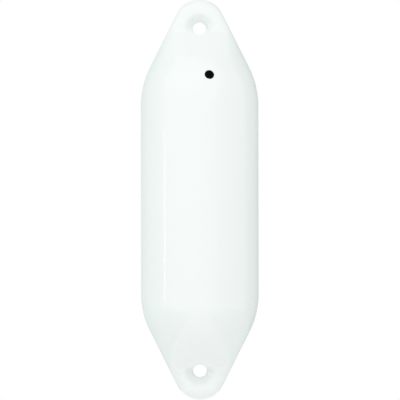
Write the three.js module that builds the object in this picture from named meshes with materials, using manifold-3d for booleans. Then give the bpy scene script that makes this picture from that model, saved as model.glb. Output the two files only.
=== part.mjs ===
import * as THREE from 'three';
import { LoftGeometry } from 'three/addons/geometries/LoftGeometry.js';
import { mergeVertices } from 'three/addons/utils/BufferGeometryUtils.js';
import Module from 'manifold-3d';

// A cylindrical boat fender with a moulded eye at each end, in millimetres.
// Z runs along the fender, both eyes are bored along Y, and the valve side is the front, -Y.
// The origin is the centre of the top eye, where a line holds the fender up.

// Overall size
const fenderLength = 560;
const bodyDiameter = 165;

// End form: the front outline narrows to a round nose, and the sides flatten into a lug
const noseRadius = 35;
const noseTaper = 27;
const shoulderRadius = 120;
const lugThickness = 34;
const lugTaper = 47;
const lugBlendRadius = 20;
const lugFullness = 3.4;

// Eyes: a round bore whose edge turns over a small lip into a wide cone with a rounded crest.
// The cone fades out towards the wedge, between two directions counted from the tip.
const eyeFromTip = 41.5;
const eyeBore = 19;
const eyeLipRadius = 1.2;
const eyeLipSweep = 54;
const eyeConeLength = 10.5;
const eyeConeFade = [80, 140];
const eyeCrestRadius = 10;
const eyeRise = 0.2;

// Valve: a rubber plug with a face that follows the shoulder, a neck and a retaining collar
const valveTurn = 10.3;
const valveLift = 22.5;
const valveFaceDiameter = 12.5;
const valveFaceThickness = 2;
const valveNeckDiameter = 8;
const valveNeckLength = 4.5;
const valveCollarDiameter = 11;
const valveCollarThickness = 1.6;
const valveNoseDiameter = 6.5;
const valveNoseLength = 5;
const valveRingDiameter = 6;
const valveRingWidth = 0.9;
const valveRingDepth = 0.5;
const needleDimpleDiameter = 2.6;
const needleDimpleDepth = 0.9;
const needleBore = 1.4;
const needleBoreDepth = 10;
const valveClearance = 0.3;

// Facets
const bodySegments = 48;
const eyeSegments = 40;
const valveSegments = 32;

const bodyRadius = bodyDiameter / 2;
const boreRadius = eyeBore / 2;
const lugHalf = lugThickness / 2;
const radians = THREE.MathUtils.degToRad;

// Distances from a tip, along the axis. The front outline leaves the nose's circle along the line
// that also touches a sphere as wide as the body, and turns into the body over a wider arc.
const shoulderCentre = noseRadius + (bodyRadius - noseRadius) / Math.sin(radians(noseTaper));
const noseEnd = noseRadius * (1 - Math.sin(radians(noseTaper)));
const shoulderCorner = shoulderCentre - bodyRadius * Math.tan(radians(noseTaper) / 2);
const shoulderEnd = shoulderCorner + shoulderRadius * Math.tan(radians(noseTaper) / 2);
const shoulderStart = shoulderEnd - shoulderRadius * Math.sin(radians(noseTaper));

// Seen from the side, a straight wedge leaves the same sphere and meets the lug in a hollow fillet
const wedgeSlope = Math.tan(radians(lugTaper));
const wedgeApex = shoulderCentre - bodyRadius / Math.sin(radians(lugTaper));
const wedgeEnd = shoulderCentre - bodyRadius * Math.sin(radians(lugTaper));
const wedgeFoot = wedgeApex + lugHalf / wedgeSlope;
const blendStart = wedgeFoot - lugBlendRadius * Math.tan(radians(lugTaper) / 2);
const blendEnd = blendStart + lugBlendRadius * Math.sin(radians(lugTaper));

const topTip = eyeFromTip;
const bottomTip = topTip - fenderLength;
const eyeHeights = [0, bottomTip + eyeFromTip];

// How far a circle stands off its own centre line, and nothing past its edge
function circleHeight(radius, offset) {
  return Math.sqrt(Math.max(radius * radius - offset * offset, 0));
}

function frontHalfWidth(fromTip) {
  if (fromTip < noseEnd) {
    return circleHeight(noseRadius, noseRadius - fromTip);
  }
  if (fromTip < shoulderStart) {
    const noseEndWidth = noseRadius * Math.cos(radians(noseTaper));
    return noseEndWidth + (fromTip - noseEnd) * Math.tan(radians(noseTaper));
  }
  const inset = shoulderRadius - bodyRadius;
  return circleHeight(shoulderRadius, Math.max(shoulderEnd - fromTip, 0)) - inset;
}

function sideHalfDepth(fromTip) {
  if (fromTip < blendStart) {
    return circleHeight(lugHalf, Math.max(lugHalf - fromTip, 0));
  }
  if (fromTip < blendEnd) {
    return lugHalf + lugBlendRadius - circleHeight(lugBlendRadius, fromTip - blendStart);
  }
  if (fromTip < wedgeEnd) {
    return (fromTip - wedgeApex) * wedgeSlope;
  }
  return circleHeight(bodyRadius, Math.max(shoulderCentre - fromTip, 0));
}

// The exponent of each section: 2 is an ellipse, and the lug's sections have fuller edges
function sectionFullness(fromTip) {
  const atNose = THREE.MathUtils.smoothstep(fromTip, 0, lugHalf);
  const atShoulder = THREE.MathUtils.smoothstep(fromTip, blendStart, shoulderStart);
  return 2 + (lugFullness - 2) * atNose * (1 - atShoulder);
}

function section(fromTip, z) {
  const halfWidth = frontHalfWidth(fromTip);
  const halfDepth = sideHalfDepth(fromTip);
  const power = 2 / sectionFullness(fromTip);
  const points = [];
  for (let i = 0; i < bodySegments; i++) {
    const angle = (i / bodySegments) * 2 * Math.PI;
    const across = Math.cos(angle);
    const out = Math.sin(angle);
    const x = halfWidth * Math.sign(across) * Math.abs(across) ** power;
    const y = halfDepth * Math.sign(out) * Math.abs(out) ** power;
    points.push(new THREE.Vector3(x, y, z));
  }
  return points;
}

// Half the fender's depth at a point of an end, which the eye's flare follows
function surfaceDepth(x, fromTip) {
  const fullness = sectionFullness(fromTip);
  const share = Math.min(Math.abs(x) / frontHalfWidth(fromTip), 1);
  return sideHalfDepth(fromTip) * (1 - share ** fullness) ** (1 / fullness);
}

// Where an end's sections stand: by angle round the nose and the shoulder, and evenly elsewhere
function endStations() {
  const stations = [];
  const noseSteps = 8;
  const lugSteps = 8;
  const wedgeSteps = 6;
  const shoulderSteps = 8;
  const lastSteps = 2;
  const noseAngle = Math.acos(1 - noseEnd / noseRadius);
  for (let i = 1; i <= noseSteps; i++) {
    stations.push(noseRadius * (1 - Math.cos((noseAngle * i) / noseSteps)));
  }
  for (let i = 1; i <= lugSteps; i++) {
    stations.push(THREE.MathUtils.lerp(noseEnd, blendEnd, i / lugSteps));
  }
  for (let i = 1; i <= wedgeSteps; i++) {
    stations.push(THREE.MathUtils.lerp(blendEnd, wedgeEnd, i / wedgeSteps));
  }
  for (let i = 1; i <= shoulderSteps; i++) {
    const angle = radians(lugTaper) * (1 - i / shoulderSteps);
    stations.push(shoulderCentre - bodyRadius * Math.sin(angle));
  }
  for (let i = 1; i <= lastSteps; i++) {
    stations.push(THREE.MathUtils.lerp(shoulderCentre, shoulderEnd, i / lastSteps));
  }
  return stations;
}

function fenderGeometry() {
  const stations = endStations();
  const bottomEnd = stations.map((fromTip) => section(fromTip, bottomTip + fromTip));
  const topEnd = stations.map((fromTip) => section(fromTip, topTip - fromTip)).reverse();
  bottomEnd.unshift(section(stations[0] / 8, bottomTip));
  topEnd.push(section(stations[0] / 8, topTip));
  return new LoftGeometry([...bottomEnd, ...topEnd], { capStart: true, capEnd: true });
}

// The eye's mouth in section, by how far it has turned off the bore: the lip's arc, then the cone,
// which keeps the lip's last slope, then the crest's arc
function mouthPoint(angle, cone) {
  const turn = radians(eyeLipSweep);
  const onLip = Math.min(angle, turn);
  const onCrest = Math.max(angle, turn);
  return {
    spread:
      eyeLipRadius * (1 - Math.cos(onLip)) +
      cone * Math.sin(turn) +
      eyeCrestRadius * (Math.cos(turn) - Math.cos(onCrest)),
    rise:
      eyeLipRadius * Math.sin(onLip) +
      cone * Math.cos(turn) +
      eyeCrestRadius * (Math.sin(onCrest) - Math.sin(turn)),
  };
}

// The mouth along one direction from the bore. Its curve stands where it touches the surface
// from inside, and a little higher for a clean edge.
function mouthArc(direction) {
  const mostDegrees = 115;
  const evenness = 0.01;
  const [fadeStart, fadeEnd] = eyeConeFade.map(radians);
  const fromTop = Math.min(direction, 2 * Math.PI - direction);
  const cone = eyeConeLength * (1 - THREE.MathUtils.smoothstep(fromTop, fadeStart, fadeEnd));
  let foot = Infinity;
  let sweep = 0;
  for (let degrees = 1; degrees <= mostDegrees; degrees++) {
    const angle = radians(degrees);
    const { spread, rise } = mouthPoint(angle, degrees > eyeLipSweep ? cone : 0);
    const reach = boreRadius + spread;
    const depth = surfaceDepth(reach * Math.sin(direction), eyeFromTip - reach * Math.cos(direction));
    if (depth - rise < foot - evenness) {
      foot = depth - rise;
      sweep = angle;
    }
  }
  return { foot: Math.max(foot, 0) + eyeRise, sweep, cone };
}

// The space that the eye takes from the fender: the bore and both flared mouths
function eyeGeometry() {
  const arcSteps = 8;
  const lipSteps = 2;
  const turn = radians(eyeLipSweep);
  const past = bodyRadius;
  const arcs = [];
  for (let i = 0; i < eyeSegments; i++) {
    arcs.push(mouthArc((i / eyeSegments) * 2 * Math.PI));
  }
  const ring = (side, place) =>
    arcs.map((arc, i) => {
      const direction = (i / eyeSegments) * 2 * Math.PI;
      const { reach, depth } = place(arc);
      return new THREE.Vector3(
        reach * Math.sin(direction),
        side * depth,
        reach * Math.cos(direction),
      );
    });
  const mouthStep = (arc, step) => {
    if (arc.sweep <= turn) {
      return mouthPoint((arc.sweep * step) / arcSteps, 0);
    }
    if (step <= lipSteps) {
      return mouthPoint((turn * step) / lipSteps, 0);
    }
    const share = (step - lipSteps - 1) / (arcSteps - lipSteps - 1);
    return mouthPoint(THREE.MathUtils.lerp(turn, arc.sweep, share), arc.cone);
  };
  const onArc = (step) => (arc) => {
    const { spread, rise } = mouthStep(arc, step);
    return { reach: boreRadius + spread, depth: arc.foot + rise };
  };
  const beyond = (arc) => ({ reach: onArc(arcSteps)(arc).reach, depth: past });
  const rings = [ring(-1, beyond)];
  for (let step = arcSteps; step >= 0; step--) {
    rings.push(ring(-1, onArc(step)));
  }
  for (let step = 0; step <= arcSteps; step++) {
    rings.push(ring(1, onArc(step)));
  }
  rings.push(ring(1, beyond));
  return new LoftGeometry(rings, { capStart: true, capEnd: true });
}

// Height of the shoulder sphere over its own highest point, at a distance from the valve's axis
function crown(radius) {
  return circleHeight(bodyRadius, radius) - bodyRadius;
}

// The valve's outside from the inner end to the face, with heights from the fender's surface.
// The same outline, grown by the clearance, is the seat in the fender.
function valveOutside(grow) {
  const faceRadius = valveFaceDiameter / 2 + grow;
  const neckRadius = valveNeckDiameter / 2 + grow;
  const collarRadius = valveCollarDiameter / 2 + grow;
  const faceBack = -valveFaceThickness - grow;
  const collarFront = -valveFaceThickness - valveNeckLength + grow;
  const collarBack = collarFront - valveCollarThickness - 2 * grow;
  const noseBack = collarBack - valveNoseLength;
  return [
    new THREE.Vector2(0, noseBack),
    new THREE.Vector2(valveNoseDiameter / 2 + grow, noseBack),
    new THREE.Vector2(collarRadius, collarBack),
    new THREE.Vector2(collarRadius, collarFront),
    new THREE.Vector2(neckRadius, collarFront),
    new THREE.Vector2(neckRadius, faceBack),
    new THREE.Vector2(faceRadius, faceBack),
  ];
}

function seatGeometry() {
  const above = 3;
  const outline = valveOutside(valveClearance);
  outline.push(new THREE.Vector2(valveFaceDiameter / 2 + valveClearance, above));
  outline.push(new THREE.Vector2(0, above));
  return new THREE.LatheGeometry(outline, valveSegments);
}

// The face carries a sunk ring round the dimple that leads the inflating needle into its bore
function valveGeometry() {
  const ringInner = (valveRingDiameter - valveRingWidth) / 2;
  const ringOuter = (valveRingDiameter + valveRingWidth) / 2;
  const ringMiddle = valveRingDiameter / 2;
  const outline = valveOutside(0);
  for (const radius of [valveFaceDiameter / 2, (valveFaceDiameter / 2 + ringOuter) / 2, ringOuter]) {
    outline.push(new THREE.Vector2(radius, crown(radius)));
  }
  outline.push(new THREE.Vector2(ringMiddle, crown(ringMiddle) - valveRingDepth));
  outline.push(new THREE.Vector2(ringInner, crown(ringInner)));
  outline.push(new THREE.Vector2(needleDimpleDiameter / 2, crown(needleDimpleDiameter / 2)));
  outline.push(new THREE.Vector2(needleBore / 2, -needleDimpleDepth));
  outline.push(new THREE.Vector2(needleBore / 2, -needleBoreDepth));
  outline.push(new THREE.Vector2(0, -needleBoreDepth));
  return new THREE.LatheGeometry(outline, valveSegments);
}

// Stands a lathed piece on the shoulder: turned from the front, lifted towards the top eye
function valvePlacement() {
  const placement = new THREE.Matrix4().makeTranslation(0, 0, topTip - shoulderCentre);
  placement.multiply(new THREE.Matrix4().makeRotationZ(radians(valveTurn)));
  placement.multiply(new THREE.Matrix4().makeRotationX(radians(180 - valveLift)));
  return placement.multiply(new THREE.Matrix4().makeTranslation(0, bodyRadius, 0));
}

const wasm = await Module();
wasm.setup();

function toSolid(geometry) {
  const bare = new THREE.BufferGeometry().copy(geometry);
  bare.deleteAttribute('normal');
  bare.deleteAttribute('uv');
  const merged = mergeVertices(bare, 1e-4);
  return new wasm.Manifold(
    new wasm.Mesh({
      numProp: 3,
      vertProperties: merged.attributes.position.array,
      triVerts: new Uint32Array(merged.index.array),
    }),
  );
}

function toGeometry(solid) {
  const { vertProperties, triVerts } = solid.getMesh();
  const geometry = new THREE.BufferGeometry();
  geometry.setAttribute('position', new THREE.BufferAttribute(vertProperties, 3));
  geometry.setIndex(new THREE.BufferAttribute(triVerts, 1));
  geometry.computeVertexNormals();
  return geometry;
}

function fenderBody() {
  let body = toSolid(fenderGeometry());
  for (const height of eyeHeights) {
    const eye = eyeGeometry();
    if (height < 0) {
      eye.rotateX(Math.PI);
    }
    eye.translate(0, 0, height);
    body = body.subtract(toSolid(eye));
  }
  const seat = seatGeometry().applyMatrix4(valvePlacement());
  return toGeometry(body.subtract(toSolid(seat)));
}

const fender = new THREE.Group();

const softPvc = new THREE.MeshStandardMaterial({ color: 0xf4f8f7, roughness: 0.32, metalness: 0 });
const blackRubber = new THREE.MeshStandardMaterial({ color: 0x0a0e0d, roughness: 0.6, metalness: 0 });

const body = new THREE.Mesh(fenderBody(), softPvc);
body.name = 'fender_body';
fender.add(body);

const valve = new THREE.Mesh(valveGeometry(), blackRubber);
valve.name = 'inflation_valve';
valve.applyMatrix4(valvePlacement());
fender.add(valve);

export default fender;
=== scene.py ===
import math

import bmesh
import bpy
import numpy as np
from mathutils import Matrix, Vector


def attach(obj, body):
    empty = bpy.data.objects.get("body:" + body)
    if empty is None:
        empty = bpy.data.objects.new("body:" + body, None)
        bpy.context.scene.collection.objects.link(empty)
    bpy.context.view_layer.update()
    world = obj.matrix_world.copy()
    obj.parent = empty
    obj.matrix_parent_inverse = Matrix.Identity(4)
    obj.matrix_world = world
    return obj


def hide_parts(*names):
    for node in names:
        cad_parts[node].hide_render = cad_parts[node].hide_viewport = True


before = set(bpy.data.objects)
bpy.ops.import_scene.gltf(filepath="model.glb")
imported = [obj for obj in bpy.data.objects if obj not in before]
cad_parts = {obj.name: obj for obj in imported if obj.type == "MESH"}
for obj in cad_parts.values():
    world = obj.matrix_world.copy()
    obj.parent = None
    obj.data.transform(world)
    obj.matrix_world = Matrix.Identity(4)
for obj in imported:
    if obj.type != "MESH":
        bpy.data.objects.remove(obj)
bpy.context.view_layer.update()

# A white boat fender with a moulded eye at each end and a black rubber valve, in metres.
# Z runs along the fender, the eyes are bored along Y, and the valve side faces -Y.

scene = bpy.context.scene

fender = {
    "length": 0.560,                    # tip to tip
    "bodyRadius": 0.0825,
    "noseRadius": 0.035,                # the round end of the front outline
    "noseTaper": math.radians(27),      # front outline, from the axis
    "shoulderRadius": 0.120,            # the arc that turns the front outline into the body
    "lugThickness": 0.034,
    "lugTaper": math.radians(47),       # side outline, from the axis
    "lugBlend": 0.020,                  # hollow fillet between the lug and the wedge
    "lugFullness": 3.4,                 # section exponent at the lug, 2 being an ellipse
    "eyeFromTip": 0.0415,
    "boreRadius": 0.0095,
    "lipRadius": 0.0012,                # the bore's edge turns over this small lip
    "lipSweep": math.radians(54),
    "coneLength": 0.0105,               # into a wide cone, which fades out towards the wedge
    "coneFade": np.radians([80, 140]),  # between these directions, counted from the tip's
    "crestRadius": 0.010,               # and this arc lays the cone onto the surface
    "mouthSearch": (1, 115, 0.125),     # from, to and step, in degrees off the bore
    "columns": 192,                     # columns, rows and steps say how fine the surface is
    "noseRows": 26,
    "lugRows": 40,
    "wedgeRows": 22,
    "shoulderRows": 30,
    "lastRows": 4,
    "cylinderRows": 24,
    "eyeRows": (0.0105, 0.072),         # the part of each end that an eye patch takes, from the tip
    "eyeColumns": 24,                   # and the columns on each side of its middle
    "landSteps": 3,
    "lipSteps": 4,
    "coneSteps": 8,
    "crestSteps": 10,
    "faceSteps": 18,
}

backShare, frontShare = 0.25, 0.75      # of the way round, from +X through +Y
leastWidth = 1e-9                       # keeps a division at a tip clear of zero


def endForm():
    # Distances from a tip along the axis, for the lines and arcs that the outlines are made of
    f = fender
    sinNose, sinLug = math.sin(f["noseTaper"]), math.sin(f["lugTaper"])
    lugHalf = f["lugThickness"] / 2
    shoulder = f["noseRadius"] + (f["bodyRadius"] - f["noseRadius"]) / sinNose
    shoulderEnd = shoulder + (f["shoulderRadius"] - f["bodyRadius"]) * math.tan(f["noseTaper"] / 2)
    wedgeApex = shoulder - f["bodyRadius"] / sinLug
    wedgeFoot = wedgeApex + lugHalf / math.tan(f["lugTaper"])
    blendStart = wedgeFoot - f["lugBlend"] * math.tan(f["lugTaper"] / 2)
    return {
        "lugHalf": lugHalf,
        "noseEnd": f["noseRadius"] * (1 - sinNose),
        "shoulder": shoulder,
        "shoulderEnd": shoulderEnd,
        "taperEnd": shoulderEnd - f["shoulderRadius"] * sinNose,
        "wedgeApex": wedgeApex,
        "wedgeEnd": shoulder - f["bodyRadius"] * sinLug,
        "blendStart": blendStart,
        "blendEnd": blendStart + f["lugBlend"] * sinLug,
    }


form = endForm()
topTip = fender["eyeFromTip"]
bottomTip = topTip - fender["length"]


def circleHeight(radius, offset):
    # Height of a circle over its centre line: root of radius squared less offset squared
    return np.sqrt(np.maximum(radius ** 2 - offset ** 2, 0))


def easeStep(value, low, high):
    # From 0 at low to 1 at high: three times the square of the share less twice its cube
    t = np.clip((value - low) / (high - low), 0, 1)
    return t * t * (3 - 2 * t)


def shares(steps):
    # A column of even steps from 0 to 1
    return np.linspace(0, 1, steps + 1)[:, None]


def halfWidth(fromTip):
    # Front outline: the nose's circle, a straight taper, then the shoulder's arc
    f = fender
    nose = circleHeight(f["noseRadius"], f["noseRadius"] - fromTip)
    taperStart = f["noseRadius"] * math.cos(f["noseTaper"])
    taper = taperStart + (fromTip - form["noseEnd"]) * math.tan(f["noseTaper"])
    arc = circleHeight(f["shoulderRadius"], np.maximum(form["shoulderEnd"] - fromTip, 0))
    shoulder = arc - (f["shoulderRadius"] - f["bodyRadius"])
    ends = (form["noseEnd"], form["taperEnd"])
    return np.select([fromTip < end for end in ends], [nose, taper], shoulder)


def halfDepth(fromTip):
    # Side outline: the lug with its full round edge, a hollow arc, the wedge's line, and the
    # shoulder's ball
    lugHalf, blend = form["lugHalf"], fender["lugBlend"]
    lug = circleHeight(lugHalf, np.maximum(lugHalf - fromTip, 0))
    hollow = lugHalf + blend - circleHeight(blend, fromTip - form["blendStart"])
    wedge = (fromTip - form["wedgeApex"]) * math.tan(fender["lugTaper"])
    ball = circleHeight(fender["bodyRadius"], np.maximum(form["shoulder"] - fromTip, 0))
    ends = (form["blendStart"], form["blendEnd"], form["wedgeEnd"])
    return np.select([fromTip < end for end in ends], [lug, hollow, wedge], ball)


def fullness(fromTip):
    # Section exponent: 2 at the tip, up to the lug's value within the round edge, and back to 2
    rise = easeStep(fromTip, 0, form["lugHalf"])
    fall = 1 - easeStep(fromTip, form["blendStart"], form["taperEnd"])
    return 2 + (fender["lugFullness"] - 2) * rise * fall


def depthAt(x, fromTip):
    # Superellipse: (x / half width) ^ n + (y / half depth) ^ n = 1, solved for y
    n = fullness(fromTip)
    share = np.minimum(np.abs(x) / np.maximum(halfWidth(fromTip), leastWidth), 1)
    return halfDepth(fromTip) * (1 - share ** n) ** (1 / n)


def ringAt(angle, fromTip):
    # One section: half width and half depth times cosine and sine, each to the power 2 / n
    power = 2 / fullness(fromTip)
    across, out = np.cos(angle), np.sin(angle)
    x = halfWidth(fromTip) * np.sign(across) * np.abs(across) ** power
    y = halfDepth(fromTip) * np.sign(out) * np.abs(out) ** power
    return x, y


def endRows():
    # By equal angles round the nose and the shoulder, and evenly along the lug and the wedge
    noseAngle = math.pi / 2 - fender["noseTaper"]
    nose = fender["noseRadius"] * (1 - np.cos(np.linspace(0, noseAngle, fender["noseRows"] + 1)))
    lug = np.linspace(form["noseEnd"], form["blendEnd"], fender["lugRows"] + 1)
    wedge = np.linspace(form["blendEnd"], form["wedgeEnd"], fender["wedgeRows"] + 1)
    lift = np.linspace(fender["lugTaper"], 0, fender["shoulderRows"] + 1)
    shoulder = form["shoulder"] - fender["bodyRadius"] * np.sin(lift)
    last = np.linspace(form["shoulder"], form["shoulderEnd"], fender["lastRows"] + 1)
    return np.concatenate([nose, lug[1:], wedge[1:], shoulder[1:], last[1:]])


def gridQuads(rows, columns):
    # Corner numbers of the quads of a grid stored row by row, whose last column meets its first
    r, c = np.meshgrid(np.arange(rows - 1), np.arange(columns), indexing="ij")
    near, far, nextC = r * columns, (r + 1) * columns, (c + 1) % columns
    return np.stack([near + c, near + nextC, far + nextC, far + c], -1)


def sheetOf(points):
    # A grid of points as a pair: its vertices in one list, and its quads
    return points.reshape(-1, 3), gridQuads(*points.shape[:2]).reshape(-1, 4)


def linkedObject(name, data):
    # A new object for this data, linked to the scene
    made = bpy.data.objects.new(name, data)
    scene.collection.objects.link(made)
    return made


def meshFrom(name, sheets, weldDistance=2e-6):
    # Joins the sheets into one mesh object, closes their seams and turns every face outwards
    vertices, faces, start = [], [], 0
    for points, quads in sheets:
        vertices.append(points)
        faces.append(quads + start)
        start += len(points)
    mesh = bpy.data.meshes.new(name)
    mesh.from_pydata(np.concatenate(vertices).tolist(), [], np.concatenate(faces).tolist())
    work = bmesh.new()
    work.from_mesh(mesh)
    bmesh.ops.remove_doubles(work, verts=work.verts, dist=weldDistance)
    bmesh.ops.dissolve_degenerate(work, edges=work.edges, dist=weldDistance)
    bmesh.ops.recalc_face_normals(work, faces=work.faces)
    openEdges = sum(1 for edge in work.edges if len(edge.link_faces) != 2)
    work.to_mesh(mesh)
    work.free()
    mesh.polygons.foreach_set("use_smooth", np.ones(len(mesh.polygons), dtype=bool))
    print(name, len(mesh.vertices), "vertices,", openEdges, "open edges")
    return linkedObject(name, mesh)


def mouthCurve(angle, cone):
    # The eye's mouth in section, as reach and rise, by how far it has turned off the bore:
    # the lip's arc, then the cone, which keeps the lip's last slope, then the crest's arc
    f, turn = fender, fender["lipSweep"]
    lip, crest = np.minimum(angle, turn), np.maximum(angle, turn)
    reach = (f["boreRadius"] + f["lipRadius"] * (1 - np.cos(lip)) + cone * math.sin(turn)
             + f["crestRadius"] * (math.cos(turn) - np.cos(crest)))
    rise = (f["lipRadius"] * np.sin(lip) + cone * math.cos(turn)
            + f["crestRadius"] * (np.sin(crest) - math.sin(turn)))
    return reach, rise


def mouthFeet(direction):
    # Along each direction from the bore, the mouth's curve touches the surface from inside.
    # Its foot is the least, over the curve, of the surface's depth less the curve's rise.
    cone = fender["coneLength"] * (1 - easeStep(np.abs(direction), *fender["coneFade"]))
    angle = np.radians(np.arange(*fender["mouthSearch"]))
    reach, rise = mouthCurve(angle, cone[:, None] * (angle > fender["lipSweep"]))
    x = reach * np.sin(direction)[:, None]
    fromTip = fender["eyeFromTip"] - reach * np.cos(direction)[:, None]
    foot = depthAt(x, fromTip) - rise
    best = np.argmin(foot, axis=1)
    return foot[np.arange(len(direction)), best], angle[best], cone


def gapBorder(grid, rows, columns):
    # The points round a gap in the grid, along its four sides in turn, and their row numbers
    first, last = rows
    left, right = columns
    r = np.concatenate([np.full(right - left, first), np.arange(first, last),
                        np.full(right - left, last), np.arange(last, first, -1)])
    c = np.concatenate([np.arange(left, right), np.full(last - first, right),
                        np.arange(right, left, -1), np.full(last - first, left)])
    return grid[r, c % grid.shape[1]], r


def eyePatch(grid, rows, fromTips, middle, side):
    # Spokes from the bore to the border of a gap in the skin: straight land, lip, cone and
    # crest, then the lug's face
    f = fender
    border, r = gapBorder(grid, rows, (middle - f["eyeColumns"], middle + f["eyeColumns"]))
    outward = f["eyeFromTip"] - fromTips[r]
    direction = np.arctan2(border[:, 0], outward)
    borderReach = np.hypot(border[:, 0], outward)
    foot, sweep, cone = mouthFeet(direction)
    land, coneShare = shares(f["landSteps"])[:-1], shares(f["coneSteps"])[1:-1]
    lipSweep = np.minimum(sweep, f["lipSweep"])
    lipArc = shares(f["lipSteps"]) * lipSweep
    crestArc = lipSweep + shares(f["crestSteps"]) * (sweep - lipSweep)
    coneLength = cone * (sweep > lipSweep)
    angle = np.concatenate([lipArc, coneShare * 0 + lipSweep, crestArc])
    travel = np.concatenate([lipArc * 0, coneShare * coneLength, crestArc * 0 + coneLength])
    arcReach, arcRise = mouthCurve(angle, travel)
    face = shares(f["faceSteps"])[1:]
    faceReach = arcReach[-1] + (borderReach - arcReach[-1]) * face
    landReach = np.full((len(land), len(direction)), f["boreRadius"])
    reach = np.concatenate([landReach, arcReach, faceReach])
    x = reach * np.sin(direction)
    fromTip = f["eyeFromTip"] - reach * np.cos(direction)
    faceDepth = depthAt(x, fromTip)[-len(face):]
    depth = np.concatenate([land * foot, foot + arcRise, faceDepth])
    atTop = grid[rows[0], 0, 2] > grid[rows[1], 0, 2]
    z = topTip - fromTip if atTop else bottomTip + fromTip
    points = np.stack([x, side * depth, z], -1)
    points[-1] = border
    return points


def buildFenderSkin():
    # Sections along the whole length, with gaps for the four eye mouths and the valve's seat
    rows = endRows()
    length, columns = fender["length"], fender["columns"]
    bodyEnds = form["shoulderEnd"], length - form["shoulderEnd"]
    cylinder = np.linspace(*bodyEnds, fender["cylinderRows"] + 1)[1:-1]
    fromTips = np.concatenate([rows, np.minimum(cylinder, length - cylinder), rows[::-1]])
    z = topTip - np.concatenate([rows, cylinder, length - rows[::-1]])
    angle = np.arange(columns) / columns * 2 * math.pi
    x, y = ringAt(angle, fromTips[:, None])
    grid = np.stack([x, y, np.broadcast_to(z[:, None], x.shape)], -1)

    keep = np.ones((len(z) - 1, columns), dtype=bool)
    low, high = (int(np.searchsorted(rows, edge)) for edge in fender["eyeRows"])
    sheets = []
    for share, side in ((backShare, 1), (frontShare, -1)):
        middle = round(share * columns)
        span = np.arange(middle - fender["eyeColumns"], middle + fender["eyeColumns"])
        keep[low:high, span] = False
        keep[len(keep) - high:len(keep) - low, span] = False
        # The lower end is worked out on the rows in reverse, so that both ends count from a tip
        for turned in (slice(None), slice(None, None, -1)):
            eye = eyePatch(grid[turned], (low, high), fromTips[turned], middle, side)
            sheets.append(sheetOf(eye))
    sheets.append(sheetOf(valvePatch(grid, keep, z)))
    sheets.append((grid.reshape(-1, 3), gridQuads(len(z), columns)[keep]))
    return meshFrom("fender_skin", sheets)


valve = {
    "turn": math.radians(10.3),         # from the front, about Z
    "lift": math.radians(22.5),         # up from level
    "faceRadius": 0.00625,
    "faceThickness": 0.0020,
    "faceEdge": 0.00035,                # rounding of the face's rim
    "neckRadius": 0.0040,
    "neckLength": 0.0045,
    "collarRadius": 0.0055,
    "collarThickness": 0.0016,
    "noseRadius": 0.00325,
    "noseLength": 0.0050,
    "ringRadius": 0.0030,               # the ring sunk into the face
    "ringWidth": 0.0009,
    "ringDepth": 0.0005,
    "ringMargin": 0.0002,               # from the ring's edges to the plain face
    "dimpleRadius": 0.0013,
    "dimpleDepth": 0.0009,
    "dimpleMargin": 0.0003,             # from the dimple's edge to the plain face
    "boreRadius": 0.0007,
    "boreDepth": 0.010,
    "clearance": 0.0003,
    "seatLip": 0.0006,                  # rounding of the skin's edge round the seat
    "seatWall": 0.6,                    # share of the face's thickness where the wall has points
    "segments": 96,                     # round the valve
    "gapColumns": 7,                    # of the skin, that its seat takes to each side
    "gapRows": 8,
    "patchSteps": 12,
    "edgePoints": 6,
    "outerFacePoints": 5,
    "ringPoints": 13,
    "innerFacePoints": 3,
    "dimplePoints": 8,
}


def valveFrame():
    # Origin at the skin over the shoulder's centre, first axis to the right, third axis outwards
    turn, lift = valve["turn"], valve["lift"]
    level = math.cos(lift)
    out = np.array([math.sin(turn) * level, -math.cos(turn) * level, math.sin(lift)])
    right = np.array([math.cos(turn), math.sin(turn), 0.0])
    up = np.cross(out, right)
    centre = np.array([0.0, 0.0, topTip - form["shoulder"]])
    return centre + out * fender["bodyRadius"], right, up, out


def crown(radius):
    # The shoulder's sphere falls away from its highest point by this much
    return circleHeight(fender["bodyRadius"], radius) - fender["bodyRadius"]


def lathe(profile, angle):
    # Points of a profile of (radius, height) carried round the valve's axis
    origin, right, up, out = valveFrame()
    radius, height = profile[:, 0, None, None], profile[:, 1, None, None]
    spoke = np.cos(angle)[None, :, None] * right + np.sin(angle)[None, :, None] * up
    return origin + radius * spoke + height * out


def cornerArc(centre, radius, start, end):
    # Points of a circle between two angles in degrees: centre plus radius times cosine and sine
    angle = np.radians(np.linspace(start, end, valve["edgePoints"]))
    return list(zip(centre[0] + radius * np.cos(angle), centre[1] + radius * np.sin(angle)))


def plugProfile(grow):
    # From the face's underside down to the nose: neck, collar and tapered nose
    v = valve
    faceBack = -v["faceThickness"] - grow
    collarFront = -v["faceThickness"] - v["neckLength"] + grow
    collarBack = collarFront - v["collarThickness"] - 2 * grow
    noseBack = collarBack - v["noseLength"]
    return [
        (v["faceRadius"] + grow, faceBack),
        (v["neckRadius"] + grow, faceBack),
        (v["neckRadius"] + grow, collarFront),
        (v["collarRadius"] + grow, collarFront),
        (v["collarRadius"] + grow, collarBack),
        (v["noseRadius"] + grow, noseBack),
        (0.0, noseBack),
    ]


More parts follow.
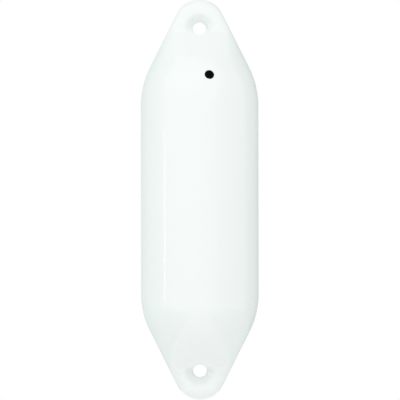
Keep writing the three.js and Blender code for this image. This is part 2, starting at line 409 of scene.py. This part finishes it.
def valvePatch(grid, keep, z):
    # A gap in the skin round the valve, closed by spokes to the seat's lip and down into the seat
    v = valve
    origin, right, up, out = valveFrame()
    row = int(np.argmin(np.abs(z - origin[2])))
    column = round((frontShare + v["turn"] / (2 * math.pi)) * fender["columns"])
    rows = (row - v["gapRows"], row + v["gapRows"])
    columns = (column - v["gapColumns"], column + v["gapColumns"])
    keep[slice(*rows), slice(*columns)] = False
    border = gapBorder(grid, rows, columns)[0]
    local = border - origin
    angle = np.arctan2(local @ up, local @ right)
    reach = np.hypot(local @ right, local @ up)
    wallRadius = v["faceRadius"] + v["clearance"]
    lipOuter = wallRadius + v["seatLip"]
    share = np.linspace(1, 0, v["patchSteps"] + 1)[:, None]
    radius = lipOuter + (reach - lipOuter) * share
    height = crown(radius) + (local @ out - crown(reach)) * share ** 2
    spoke = np.cos(angle)[:, None] * right + np.sin(angle)[:, None] * up
    surface = origin + radius[..., None] * spoke + height[..., None] * out
    surface[0] = border
    lip = cornerArc((lipOuter, crown(lipOuter) - v["seatLip"]), v["seatLip"], 90, 180)[1:]
    wall = (wallRadius, -v["faceThickness"] * v["seatWall"])
    socket = np.array([*lip, wall, *plugProfile(v["clearance"])])
    return np.concatenate([surface, lathe(socket, angle)])


def buildValve():
    # Outside from the nose to the rim, then the face: rounded rim, sunk ring, dimple, needle bore.
    # The ring sinks by the power 1.5 of one less the square of the share from its middle.
    v = valve
    rim, edge, dimple, bore = v["faceRadius"], v["faceEdge"], v["dimpleRadius"], v["boreRadius"]
    ring, half, margin = v["ringRadius"], v["ringWidth"] / 2, v["ringMargin"]
    outerFace = np.linspace(rim - edge, ring + half + margin, v["outerFacePoints"])[1:]
    across = np.linspace(-1, 1, v["ringPoints"])
    ringHeight = crown(ring) - v["ringDepth"] * (1 - across * across) ** 1.5
    innerFace = np.linspace(ring - half - margin, dimple + v["dimpleMargin"], v["innerFacePoints"])
    inwards = np.linspace(0, 1, v["dimplePoints"])
    dimpleHeight = crown(dimple) - v["dimpleDepth"] * easeStep(inwards, 0, 1)
    profile = [
        *plugProfile(0.0)[::-1],
        *cornerArc((rim - edge, crown(rim) - edge), edge, 0, 90),
        *zip(outerFace, crown(outerFace)),
        *zip(ring - across * half, ringHeight),
        *zip(innerFace, crown(innerFace)),
        *zip(dimple + (bore - dimple) * inwards, dimpleHeight),
        (bore, -v["boreDepth"]),
        (0.0, -v["boreDepth"]),
    ]
    angle = np.arange(v["segments"]) / v["segments"] * 2 * math.pi
    return meshFrom("valve_plug", [sheetOf(lathe(np.array(profile), angle))])


skin = buildFenderSkin()
plug = buildValve()
print("fender and valve built")

vinyl = {
    "colour": (0.890, 0.937, 0.919),
    "shade": (0.876, 0.920, 0.907),     # the faint cloudiness of moulded vinyl
    "roughness": (0.10, 0.14),
    "grainScale": 900.0,
    "cloudScale": 14.0,
    "grainDepth": 0.00001,
    "rippleDepth": 0.00006,
    "specular": 0.5,
}

rubber = {
    "colour": (0.0012, 0.0018, 0.0017),
    "shade": (0.0030, 0.0040, 0.0037),
    "roughness": (0.42, 0.58),
    "grainScale": 2600.0,
    "cloudScale": 260.0,
    "grainDepth": 0.00002,
    "rippleDepth": 0.00003,
    "specular": 0.03,
}

mouldedInputs = {                       # the shared group's inputs, and the setting that each takes
    "Grain Scale": "grainScale",
    "Cloud Scale": "cloudScale",
    "Grain Depth": "grainDepth",
    "Ripple Depth": "rippleDepth",
}

cloudRange = (0.3, 0.7)                 # where most of the cloud mask lies


def makeMouldedGroup():
    # Fine grain and slow ripple as one height, and a cloud mask, all from Object coordinates
    group = bpy.data.node_groups.new("mouldedSurface", "ShaderNodeTree")
    addSocket = group.interface.new_socket
    for name in mouldedInputs:
        addSocket(name=name, in_out="INPUT", socket_type="NodeSocketFloat")
    for name in ("Height", "Cloud"):
        addSocket(name=name, in_out="OUTPUT", socket_type="NodeSocketFloat")
    nodes, link = group.nodes, group.links.new
    given = nodes.new("NodeGroupInput")
    result = nodes.new("NodeGroupOutput")
    place = nodes.new("ShaderNodeTexCoord")

    def noise(scaleSocket, detail, roughness):
        node = nodes.new("ShaderNodeTexNoise")
        node.inputs["Detail"].default_value = detail
        node.inputs["Roughness"].default_value = roughness
        link(place.outputs["Object"], node.inputs["Vector"])
        link(scaleSocket, node.inputs["Scale"])
        return node.outputs["Fac"]

    def combine(operation, a, b):
        node = nodes.new("ShaderNodeMath")
        node.operation = operation
        link(a, node.inputs[0])
        link(b, node.inputs[1])
        return node.outputs[0]

    grain = noise(given.outputs["Grain Scale"], detail=2.0, roughness=0.5)
    cloud = noise(given.outputs["Cloud Scale"], detail=3.0, roughness=0.45)
    grainHeight = combine("MULTIPLY", grain, given.outputs["Grain Depth"])
    rippleHeight = combine("MULTIPLY", cloud, given.outputs["Ripple Depth"])
    link(combine("ADD", grainHeight, rippleHeight), result.inputs["Height"])
    link(cloud, result.inputs["Cloud"])
    return group


def makeFinish(name, values, group):
    # Principled surface whose colour and roughness run between two values by the cloud mask
    material = bpy.data.materials.new(name)
    material.use_nodes = True
    nodes, link = material.node_tree.nodes, material.node_tree.links.new
    surface = nodes["Principled BSDF"]
    moulded = nodes.new("ShaderNodeGroup")
    moulded.node_tree = group
    for socket, key in mouldedInputs.items():
        moulded.inputs[socket].default_value = values[key]
    tint = nodes.new("ShaderNodeMix")
    tint.data_type = "RGBA"
    tint.inputs["A"].default_value = (*values["shade"], 1)
    tint.inputs["B"].default_value = (*values["colour"], 1)
    link(moulded.outputs["Cloud"], tint.inputs["Factor"])
    link(tint.outputs["Result"], surface.inputs["Base Color"])
    dull = nodes.new("ShaderNodeMapRange")
    for side, reach in (("From", cloudRange), ("To", values["roughness"])):
        dull.inputs[side + " Min"].default_value, dull.inputs[side + " Max"].default_value = reach
    link(moulded.outputs["Cloud"], dull.inputs["Value"])
    link(dull.outputs["Result"], surface.inputs["Roughness"])
    bump = nodes.new("ShaderNodeBump")
    bump.inputs["Strength"].default_value = 1.0
    bump.inputs["Distance"].default_value = 1.0
    link(moulded.outputs["Height"], bump.inputs["Height"])
    link(bump.outputs["Normal"], surface.inputs["Normal"])
    surface.inputs["Specular IOR Level"].default_value = values["specular"]
    return material


mouldedGroup = makeMouldedGroup()
softVinyl = makeFinish("softVinyl", vinyl, mouldedGroup)
valveRubber = makeFinish("valveRubber", rubber, mouldedGroup)
skin.data.materials.append(softVinyl)
plug.data.materials.append(valveRubber)

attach(skin, "root")
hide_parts("fender_body")
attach(plug, "root")
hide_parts("inflation_valve")
print("finishes set")

studio = {
    "floorHeight": -0.72,
    "floorSize": 5.6,
    "floorColour": (0.93, 0.93, 0.93),
    "floorLift": 0.45,                  # added to the floor's own light for the camera
    "ambient": 0.80,
    "cameraDistance": 4.0,
    "sensorWidth": 36.0,                # in millimetres
    "millimetresPerPixel": 1.398,
    "imagePixels": 400,
    "imageCentre": (199.75, 199.7),     # where the fender's middle stands in the image
    "imageRoll": math.radians(0.1),     # the fender leans this much to the left
    "lamps": {                          # size, place and power
        "softbox": ((3.0, 3.0), (-0.32, -0.95, 0.33), 8.85),
        "strip": ((0.055, 0.42), (-1.49, -0.53, -0.325), 0.27),
        "fill": ((2.0, 2.6), (1.25, -0.75, -0.20), 1.65),
    },
    "cardTop": 1.40,
    "cardTint": (0.78, 1.0, 0.93),
    "standingCards": {                  # two ends seen from above, and the level
        "rightCard": ((1.05, 0.18), (0.36, 1.05), 0.53),
        "leftCard": ((-0.95, -0.15), (-0.36, 1.05), 0.78),
    },
    "cardLift": 0.01,                   # of the lying cards, over the floor
    "lyingCards": {                     # two corners seen from above, and the level
        "lowRightCard": ((0.22, -0.80), (1.20, 1.00), 0.80),
        "lowLeftCard": ((-1.20, -0.80), (-0.22, 1.00), 0.72),
    },
}

fenderMiddle = Vector((0, 0, (topTip + bottomTip) / 2))


def seenByCamera(tree, shown, hidden):
    # Camera, glossy and transmission rays take the shown shader, and all others the hidden one
    path = tree.nodes.new("ShaderNodeLightPath")
    seen = path.outputs["Is Camera Ray"]
    for other in ("Is Glossy Ray", "Is Transmission Ray"):
        either = tree.nodes.new("ShaderNodeMath")
        either.operation = "MAXIMUM"
        tree.links.new(seen, either.inputs[0])
        tree.links.new(path.outputs[other], either.inputs[1])
        seen = either.outputs[0]
    mix = tree.nodes.new("ShaderNodeMixShader")
    tree.links.new(seen, mix.inputs[0])
    tree.links.new(hidden.outputs[0], mix.inputs[1])
    tree.links.new(shown.outputs[0], mix.inputs[2])
    return mix.outputs[0]


def buildWorld():
    # Plain white where it is seen, and the ambient level as light
    world = bpy.data.worlds.new("studioWorld")
    scene.world = world
    world.use_nodes = True
    tree = world.node_tree
    ambient = tree.nodes["Background"]
    white = tree.nodes.new("ShaderNodeBackground")
    for background, strength in ((ambient, studio["ambient"]), (white, 1.0)):
        background.inputs["Color"].default_value = (1, 1, 1, 1)
        background.inputs["Strength"].default_value = strength
    seen = seenByCamera(tree, white, ambient)
    tree.links.new(seen, tree.nodes["World Output"].inputs["Surface"])


def stageSheet(name, corners):
    # A flat stage piece of one quad, its bare material's nodes, and the socket of its surface
    mesh = bpy.data.meshes.new(name)
    mesh.from_pydata(corners, [], [(0, 1, 2, 3)])
    sheet = linkedObject(name, mesh)
    material = bpy.data.materials.new(name)
    material.use_nodes = True
    tree = material.node_tree
    tree.nodes.clear()
    output = tree.nodes.new("ShaderNodeOutputMaterial")
    mesh.materials.append(material)
    return sheet, tree, output.inputs["Surface"]


def levelCorners(start, end, height):
    # Four corners of a level rectangle, from two that lie across from each other
    flat = (start, (end[0], start[1]), end, (start[0], end[1]))
    return [(*corner, height) for corner in flat]


def buildFloor():
    # Plain pale floor whose diffuse colour, with a lift for the camera, shows the shadow on white
    half = studio["floorSize"] / 2
    corners = levelCorners((-half, -half), (half, half), studio["floorHeight"])
    tree, surface = stageSheet("floor", corners)[1:]
    plain = tree.nodes.new("ShaderNodeBsdfDiffuse")
    plain.inputs["Color"].default_value = (*studio["floorColour"], 1)
    lift = tree.nodes.new("ShaderNodeEmission")
    lift.inputs["Strength"].default_value = studio["floorLift"]
    both = tree.nodes.new("ShaderNodeAddShader")
    tree.links.new(plain.outputs[0], both.inputs[0])
    tree.links.new(lift.outputs[0], both.inputs[1])
    tree.links.new(seenByCamera(tree, both, plain), surface)


def glossCard(name, corners, level):
    # A plain card that only the fender's gloss sees, so that its sides mirror less white and
    # more mint
    card, tree, surface = stageSheet(name, corners)
    plain = tree.nodes.new("ShaderNodeEmission")
    plain.inputs["Color"].default_value = (*(level * share for share in studio["cardTint"]), 1)
    tree.links.new(plain.outputs[0], surface)
    card.visible_camera = False
    card.visible_diffuse = False
    card.visible_shadow = False


def buildCards():
    # Two cards that stand beside the fender, and two that lie just over the floor
    low, high = studio["floorHeight"], studio["cardTop"]
    for name, (near, far, level) in studio["standingCards"].items():
        glossCard(name, [(*near, low), (*far, low), (*far, high), (*near, high)], level)
    for name, (start, end, level) in studio["lyingCards"].items():
        glossCard(name, levelCorners(start, end, low + studio["cardLift"]), level)


def areaLight(name, size, place, power):
    # A rectangular lamp aimed at the fender's middle
    data = bpy.data.lights.new(name, "AREA")
    data.shape = "RECTANGLE"
    data.size, data.size_y = size
    data.energy = power
    lamp = linkedObject(name, data)
    lamp.location = place
    lamp.rotation_euler = (fenderMiddle - lamp.location).to_track_quat("-Z", "Y").to_euler()
    lamp.visible_camera = False


def buildCamera():
    # Level, straight in front, with a long lens whose scale at the fender is the given one
    data = bpy.data.cameras.new("camera")
    data.sensor_fit = "HORIZONTAL"
    data.sensor_width = studio["sensorWidth"]
    pixels, distance = studio["imagePixels"], studio["cameraDistance"]
    scale = studio["millimetresPerPixel"] / 1000
    data.lens = data.sensor_width * distance / (pixels * scale)
    camera = linkedObject("camera", data)
    right, down = ((pixels / 2 - centre) * scale for centre in studio["imageCentre"])
    camera.location = (right, -distance, fenderMiddle.z - down)
    camera.rotation_euler = (math.pi / 2, studio["imageRoll"], 0)
    scene.camera = camera


buildWorld()
buildFloor()
buildCards()
for name, settings in studio["lamps"].items():
    areaLight(name, *settings)
buildCamera()
scene.view_settings.view_transform = "Standard"
print("studio ready")
